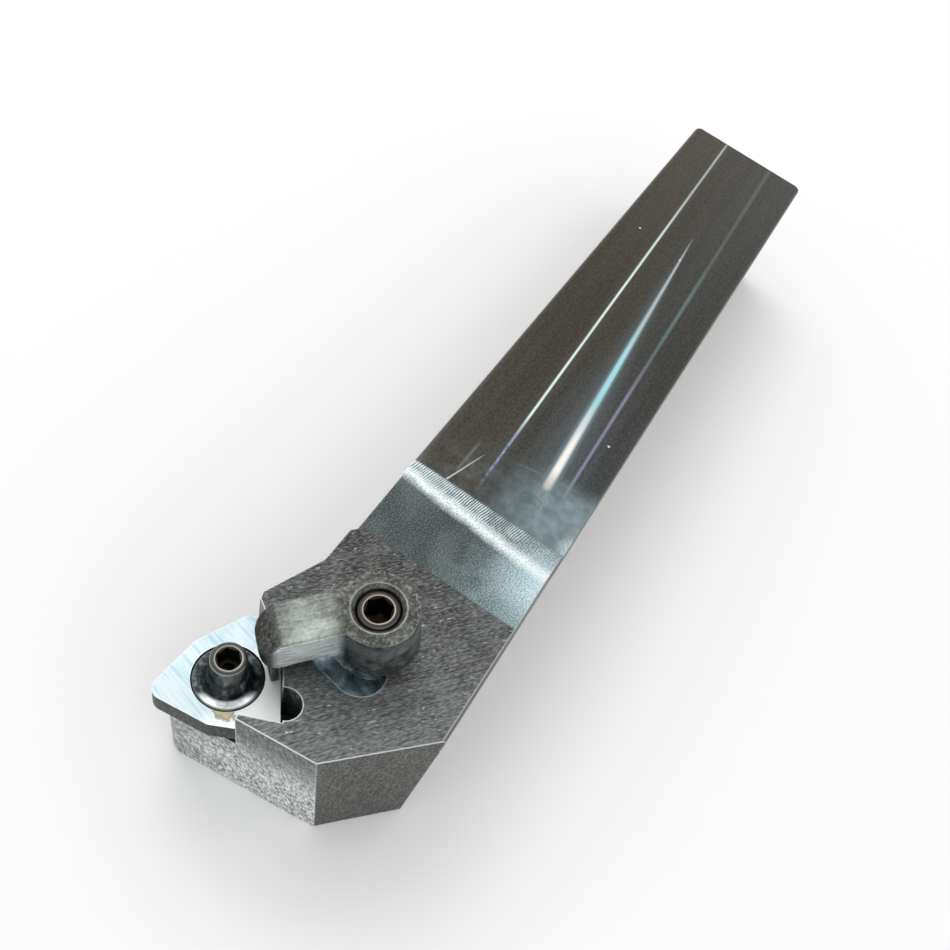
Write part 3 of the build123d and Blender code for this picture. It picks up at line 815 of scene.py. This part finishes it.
def hand_over(piece, node, body, material):
    """Gives a finished piece its finish, and lets it stand for its node and move with its body."""
    piece.data.materials.clear()
    piece.data.materials.append(material)
    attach(piece, body)
    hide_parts(node)


def dress(node, material):
    """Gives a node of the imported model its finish."""
    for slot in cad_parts[node].material_slots:
        slot.material = material


def copy_merged(node, name):
    """A copy of a node's mesh whose loose triangles are joined."""
    form = bmesh.new()
    form.from_mesh(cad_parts[node].data)
    bmesh.ops.remove_doubles(form, verts=form.verts, dist=1e-7)
    mesh = bpy.data.meshes.new(name)
    form.to_mesh(mesh)
    form.free()
    piece = bpy.data.objects.new(name, mesh)
    bpy.context.scene.collection.objects.link(piece)
    return piece


class SteelTones(bpy.types.PropertyGroup):
    """The main colours of the pieces."""
    ground_steel: FloatVectorProperty(
        name="Ground steel", description="The ground sides of the shank", subtype="COLOR",
        size=3, min=0.0, max=1.0, default=tone(116, 116, 112)[:3])
    # The seat top's colour is painted nearly white: a painted reflection of the light.
    seat_top: FloatVectorProperty(
        name="Seat top", description="The ground top of the seat", subtype="COLOR",
        size=3, min=0.0, max=1.0, default=tone(190, 205, 209)[:3])
    forged: FloatVectorProperty(
        name="Forged clamp", description="The scale on the forged clamp", subtype="COLOR",
        size=3, min=0.0, max=1.0, default=tone(92, 95, 89)[:3])
    blackened: FloatVectorProperty(
        name="Blackened steel", description="The pin and the screw", subtype="COLOR",
        size=3, min=0.0, max=1.0, default=tone(46, 50, 50)[:3])


class ThreadSizes(bpy.types.PropertyGroup):
    """The thread turns on the screw and the pin."""
    pitch: FloatProperty(
        name="Pitch", description="From one turn to the next", unit="LENGTH", default=0.79375 * MM)
    depth: FloatProperty(
        name="Depth", description="How deep the turns are cut", unit="LENGTH", default=0.42 * MM)
    inner_radius: FloatProperty(
        name="Inner radius", description="Only what lies outside this radius is cut",
        unit="LENGTH", default=1.9 * MM)
    segments: IntProperty(
        name="Segments", description="Faces round a turned piece, a multiple of six",
        default=96, min=24)


class ForgingSizes(bpy.types.PropertyGroup):
    """How the clamp's forged surface is softened and made uneven."""
    cell: FloatProperty(
        name="Cell", description="Size of the faces of the forged surface",
        unit="LENGTH", default=0.12 * MM)
    rounding: IntProperty(
        name="Rounding", description="How often the surface is smoothed", default=5, min=0)
    unevenness: FloatProperty(
        name="Unevenness", description="Height of the forged lumps",
        unit="LENGTH", default=0.05 * MM)
    seed: IntProperty(name="Seed", description="Changes where the lumps lie", default=7)


class StageSizes(bpy.types.PropertyGroup):
    """The floor, the lamps and the camera."""
    floor: FloatProperty(name="Floor", description="Side of the floor", unit="LENGTH", default=6.0)
    lens: FloatProperty(name="Lens", description="Focal length in millimetres", default=42.79)
    key: FloatProperty(name="Key lamp", description="Power of the key lamp in watts", default=1.15)
    fill: FloatProperty(
        name="Fill lamp", description="Power of the fill lamp in watts", default=0.34)
    sky: FloatProperty(
        name="Sky", description="Strength of the plain light all round", default=0.86)


class TOOLHOLDER_OT_holder(bpy.types.Operator):
    """Finishes the holder's body"""
    bl_idname = "toolholder.holder"
    bl_label = "Holder body"

    def execute(self, context):
        dress("holder_body", holder_finish(context.scene.steel_tones))
        return {"FINISHED"}


class TOOLHOLDER_OT_seat(bpy.types.Operator):
    """Finishes the seat"""
    bl_idname = "toolholder.seat"
    bl_label = "Seat"

    def execute(self, context):
        dress("seat", seat_finish(context.scene.steel_tones))
        return {"FINISHED"}


class TOOLHOLDER_OT_lock_pin(bpy.types.Operator):
    """Turns the lock pin, with its flange, its hexagon socket and its thread"""
    bl_idname = "toolholder.lock_pin"
    bl_label = "Lock pin"

    def execute(self, context):
        sizes = context.scene.thread_sizes
        end = -SEAT_CENTRE.z / MM / SEAT_UP.z + 1.2
        rings = PIN_SOCKET + run_down(1.70, 3.5, 1.6, 0.24) + PIN_FLANGE
        rings += run_down(THREAD_RADIUS, -1.14, end + 0.35, sizes.pitch / MM / 10)
        rings += [(2.0, end + 0.2), (1.8, end), (0.8, end)]
        piece = turned("lock_pin_turned", rings, 30.0, sizes.segments)
        finish = pin_finish(context.scene.steel_tones)
        piece.data.materials.append(finish)
        cut_thread(piece, thread_tree(), sizes, -1.5, end, 1.0, finish)
        piece.data.transform(standing(SEAT_CENTRE, SEAT_UP, SEAT_TO_TIP))
        shade(piece, TURNED_SHARP)
        hand_over(piece, "lock_pin", "lock_pin", finish)
        return {"FINISHED"}


class TOOLHOLDER_OT_clamp(bpy.types.Operator):
    """Softens and roughens the clamp as a forging"""
    bl_idname = "toolholder.clamp"
    bl_label = "Clamp"

    def execute(self, context):
        sizes = context.scene.forging_sizes
        piece = copy_merged("clamp", "clamp_forged_skin")
        cells = piece.modifiers.new("cells", "REMESH")
        cells.mode = "VOXEL"
        cells.voxel_size = sizes.cell
        self.soften(piece, 3, "")
        keep_result(piece)
        outer = piece.vertex_groups.new(name="outer")
        for vertex in piece.data.vertices:
            outer.add([vertex.index], self.from_hole(vertex.co), "REPLACE")
        self.soften(piece, sizes.rounding, "outer")
        keep_result(piece)
        self.roughen(piece, sizes)
        shade(piece, FORGED_SHARP)
        hand_over(piece, "clamp", "clamp", clamp_finish(context.scene.steel_tones))
        return {"FINISHED"}

    def soften(self, piece, times, group):
        soft = piece.modifiers.new("soft", "SMOOTH")
        soft.factor = 0.5
        soft.iterations = times
        soft.vertex_group = group

    def from_hole(self, place):
        """0 in the screw's hole and on its rim, and 1 a little further out."""
        way = place - SCREW_CENTRE
        off = (way - SCREW_UP * way.dot(SCREW_UP)).length / MM
        return min(1.0, max(0.0, (off - HOLE_RIM) / HOLE_BLEND))

    def roughen(self, piece, sizes):
        """Moves each point of the skin a little inwards or outwards, except in the screw's hole."""
        turn = Vector((sizes.seed, sizes.seed * 1.7, sizes.seed * 0.3))
        normals = [v.normal.copy() for v in piece.data.vertices]
        for vertex, normal in zip(piece.data.vertices, normals):
            spot = vertex.co / MM
            lumps = noise.noise(spot * 0.55 + turn) * 0.8 + noise.noise(spot * 1.5 + turn) * 0.35
            vertex.co += normal * (lumps * sizes.unevenness - 0.01 * MM) * self.from_hole(vertex.co)


class TOOLHOLDER_OT_clamp_screw(bpy.types.Operator):
    """Turns the clamp's double-ended screw, with a right-hand and a left-hand thread"""
    bl_idname = "toolholder.clamp_screw"
    bl_label = "Clamp screw"

    def execute(self, context):
        sizes = context.scene.thread_sizes
        step = sizes.pitch / MM / 10
        top, end = -0.3, -19.35
        rings = [(radius, top - depth, *flats) for radius, depth, *flats in SCREW_SOCKET]
        rings += run_down(THREAD_RADIUS, top - 0.34, -7.64, step) + SCREW_WAIST
        rings += run_down(THREAD_RADIUS, -10.36, end + 0.34, step)
        rings += [(radius, end + depth, *flats) for radius, depth, *flats in reversed(SCREW_SOCKET)]
        piece = turned("clamp_screw_turned", rings, 0.0, sizes.segments)
        finish = screw_finish(context.scene.steel_tones)
        piece.data.materials.append(finish)
        tree = thread_tree()
        cut_thread(piece, tree, sizes, top - 0.2, -8.1, 1.0, finish)
        cut_thread(piece, tree, sizes, -9.9, end, -1.0, finish)
        piece.data.transform(standing(SCREW_CENTRE, SCREW_UP, SCREW_TO_NOSE))
        shade(piece, TURNED_SHARP)
        hand_over(piece, "clamp_screw", "clamp_screw", finish)
        return {"FINISHED"}


class TOOLHOLDER_OT_stage(bpy.types.Operator):
    """Lays the pale floor and sets the lamps, the sky and the camera"""
    bl_idname = "toolholder.stage"
    bl_label = "Stage"

    def execute(self, context):
        sizes = context.scene.stage_sizes
        context.scene.view_settings.view_transform = "Standard"
        self.lay_floor(sizes)
        self.set_sky(context, sizes)
        self.hang_lamp("key_lamp", KEY_WAY, 0.42, sizes.key)
        self.hang_lamp("fill_lamp", FILL_WAY, 0.60, sizes.fill)
        self.set_camera(context, sizes)
        return {"FINISHED"}

    def lay_floor(self, sizes):
        mesh = bpy.data.meshes.new("floor")
        form = bmesh.new()
        bmesh.ops.create_grid(form, x_segments=1, y_segments=1, size=sizes.floor / 2)
        bmesh.ops.translate(form, verts=form.verts, vec=(0.0, 0.0, -FLOOR_DROP))
        form.to_mesh(mesh)
        form.free()
        floor = bpy.data.objects.new("floor", mesh)
        bpy.context.scene.collection.objects.link(floor)
        paper = bpy.data.materials.new("white_paper")
        paper.use_nodes = True
        shader = paper.node_tree.nodes["Principled BSDF"]
        shader.inputs["Base Color"].default_value = tone(250, 250, 250)
        shader.inputs["Roughness"].default_value = 0.9
        floor.data.materials.append(paper)

    def set_sky(self, context, sizes):
        sky = bpy.data.worlds.new("plain_sky")
        sky.use_nodes = True
        nodes = Nodes(sky.node_tree)
        seen = [nodes.add("ShaderNodeLightPath", output=f"Is {kind} Ray")
                for kind in ("Camera", "Glossy", "Transmission")]
        share = (seen[0] + seen[1] + seen[2]).inside()
        back = sky.node_tree.nodes["Background"]
        back.inputs["Color"].default_value = (1.0, 1.0, 1.0, 1.0)
        strength = sizes.sky + share * (1.0 - sizes.sky)
        sky.node_tree.links.new(strength.socket, back.inputs["Strength"])
        context.scene.world = sky

    def hang_lamp(self, name, way, size, power):
        lamp = bpy.data.lights.new(name, "AREA")
        lamp.shape = "SQUARE"
        lamp.size = size
        lamp.energy = power
        holder = bpy.data.objects.new(name, lamp)
        turn = way.to_track_quat("Z", "Y").to_matrix().to_4x4()
        holder.matrix_world = Matrix.Translation(LIT_PLACE + way) @ turn
        bpy.context.scene.collection.objects.link(holder)

    def set_camera(self, context, sizes):
        eye = bpy.data.cameras.new("photo_camera")
        eye.lens = sizes.lens
        eye.sensor_width = 36.0
        eye.clip_start = 0.005
        holder = bpy.data.objects.new("photo_camera", eye)
        turn = Matrix((CAMERA_RIGHT, -CAMERA_DOWN, -CAMERA_FORWARD)).transposed().to_4x4()
        holder.matrix_world = Matrix.Translation(CAMERA_PLACE) @ turn
        bpy.context.scene.collection.objects.link(holder)
        context.scene.camera = holder


STEPS = ("holder", "seat", "lock_pin", "clamp", "clamp_screw", "stage")


class TOOLHOLDER_PT_panel(bpy.types.Panel):
    """The holder's pieces and their sizes"""
    bl_label = "Tool Holder"
    bl_idname = "TOOLHOLDER_PT_panel"
    bl_space_type = "VIEW_3D"
    bl_region_type = "UI"
    bl_category = "Tool Holder"

    def draw(self, context):
        for step in STEPS:
            self.layout.operator("toolholder." + step)
        for name in GROUPS:
            sizes = getattr(context.scene, name)
            box = self.layout.box()
            for prop in sizes.bl_rna.properties:
                if prop.identifier not in ("rna_type", "name"):
                    box.prop(sizes, prop.identifier)


GROUPS = {
    "steel_tones": SteelTones,
    "thread_sizes": ThreadSizes,
    "forging_sizes": ForgingSizes,
    "stage_sizes": StageSizes,
}
CLASSES = (
    *GROUPS.values(),
    TOOLHOLDER_OT_holder, TOOLHOLDER_OT_seat, TOOLHOLDER_OT_lock_pin, TOOLHOLDER_OT_clamp,
    TOOLHOLDER_OT_clamp_screw, TOOLHOLDER_OT_stage, TOOLHOLDER_PT_panel,
)


def register():
    for each in CLASSES:
        bpy.utils.register_class(each)
    for name, group in GROUPS.items():
        setattr(bpy.types.Scene, name, PointerProperty(type=group))


def unregister():
    for name in GROUPS:
        delattr(bpy.types.Scene, name)
    for each in reversed(CLASSES):
        bpy.utils.unregister_class(each)


def main():
    """Registers the add-on, dresses every piece and sets the stage."""
    register()
    for step in STEPS:
        getattr(bpy.ops.toolholder, step)()


if __name__ == "__main__":
    main()
